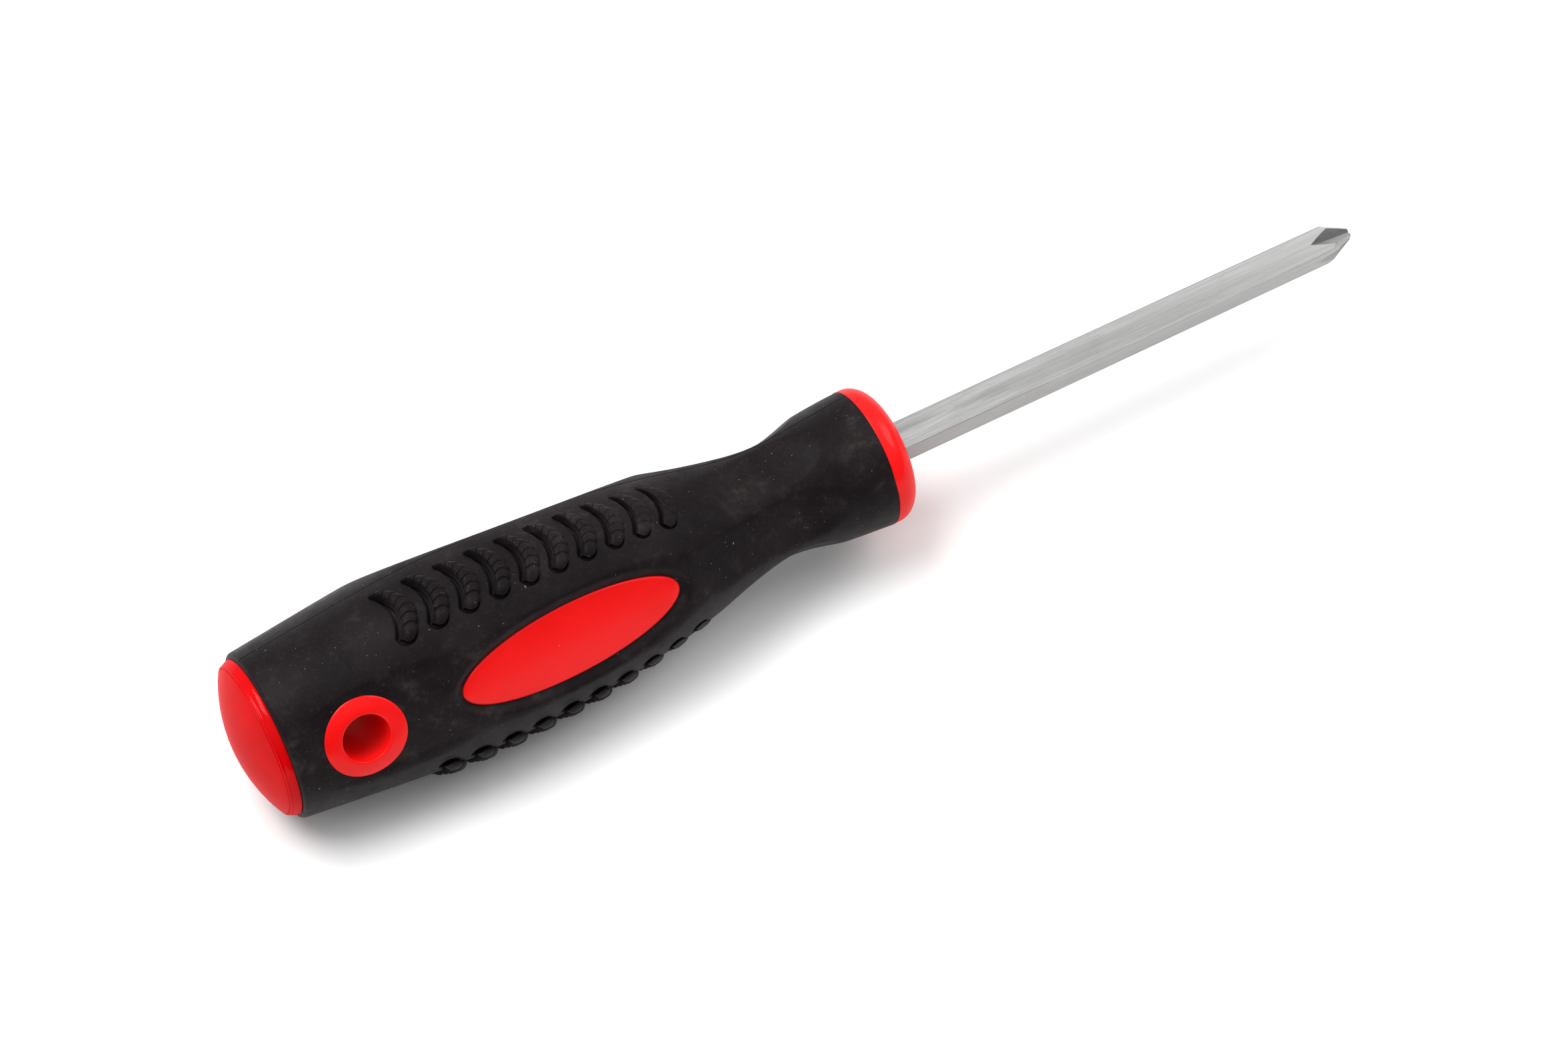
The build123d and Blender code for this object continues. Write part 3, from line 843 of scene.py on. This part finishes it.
def light_the_stage():
    """Broad soft light from above and behind, falling off to a dim room in front."""
    world = bpy.data.worlds.new("surround")
    world.use_nodes = True
    tree = world.node_tree
    background = tree.nodes["Background"]
    background.inputs["Strength"].default_value = 1.0
    direction = tree.nodes.new("ShaderNodeTexCoord").outputs["Generated"]
    facing = tree.nodes.new("ShaderNodeVectorMath")
    facing.operation = "DOT_PRODUCT"
    facing.inputs[1].default_value = (0.0, 0.66, 0.75)
    tree.links.new(direction, facing.inputs[0])
    span = tree.nodes.new("ShaderNodeMapRange")
    span.interpolation_type = "SMOOTHSTEP"
    for key, number in (("From Min", -0.55), ("From Max", 0.55), ("To Min", 0.10), ("To Max", 0.85)):
        span.inputs[key].default_value = number
    tree.links.new(facing.outputs["Value"], span.inputs["Value"])
    tree.links.new(span.outputs["Result"], background.inputs["Color"])
    bpy.context.scene.world = world
    middle = (0.08, 0.0, 0.0)
    area_light("key", (-0.35, 0.30, 1.2), middle, (0.9, 0.7), 16.0)
    area_light("side", (0.9, -0.15, 0.9), middle, (0.7, 0.7), 5.0)
    bpy.context.scene.view_settings.view_transform = "Standard"


# ---------------------------------------------------------------- assembly

make_camera()
light_the_stage()
make_floor()

rubber_skin = rubber("charcoal_rubber")
accent_red = red_plastic("accent_red", (0.84, 0.009, 0.009, 1), (0.76, 0.004, 0.004, 1), 0.36, 0.22)
# The cap is the same red plastic as the accent parts; its darker base colour is painted shade for the dome,
# which faces away from the light.
cap_red_shaded = red_plastic("cap_red_shaded", (0.60, 0.001, 0.003, 1), (0.50, 0.001, 0.002, 1), 0.17, 0.10)
nickel_plate = nickel("nickel_plate")

grip = make_grip()
cut(grip, eyelet_cutter())
ribs = make_ribs()
finishes = [
    (grip, rubber_skin, "grip", "grip"),
    (make_eyelet(), accent_red, "accent", "hanging_eyelet"),
    (make_badge(), accent_red, "accent", "badge"),
    (make_collar(), accent_red, "accent", "front_collar"),
    (make_cap(), cap_red_shaded, "cap", "end_cap"),
] + [(row, rubber_skin, "grip", None) for row in ribs]
for piece, material, slot, node in finishes:
    piece.data.materials.clear()
    piece.data.materials.append(material)
    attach(piece, "root")
    if node:
        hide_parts(node)

for node, material in (("blade", nickel_plate), ("handle_core", accent_red)):
    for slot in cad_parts[node].material_slots:
        slot.material = material
